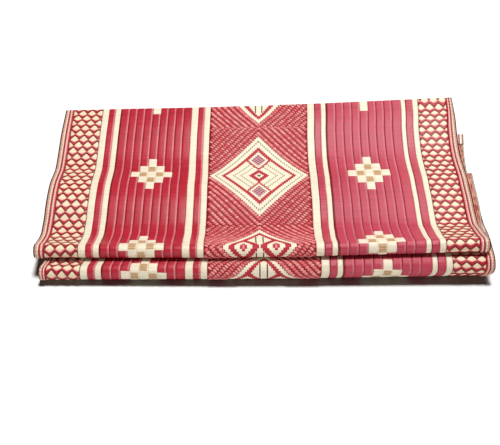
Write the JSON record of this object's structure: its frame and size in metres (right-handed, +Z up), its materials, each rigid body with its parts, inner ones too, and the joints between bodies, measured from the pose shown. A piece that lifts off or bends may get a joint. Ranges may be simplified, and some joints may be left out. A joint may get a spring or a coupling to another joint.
{
  "type": "folded woven plastic camping mat",
  "caption": "Large woven plastic-straw camping mat, folded back and forth with rounded front folds, lying flat for storage.",
  "frame": {"origin": "on the floor, under the middle of the folded mat's bounding box", "axes": "+X along the width of the mat, selvedge to selvedge; -Y towards the two front folds; +Z up from the floor"},
  "size_m": [1.23, 0.7132, 0.102],
  "materials": {
    "woven_straw": "satin woven polypropylene straw, crimson and cream"
  },
  "bodies": {
    "root": {"woven_mat": "woven_straw"}
  },
  "joints": []
}
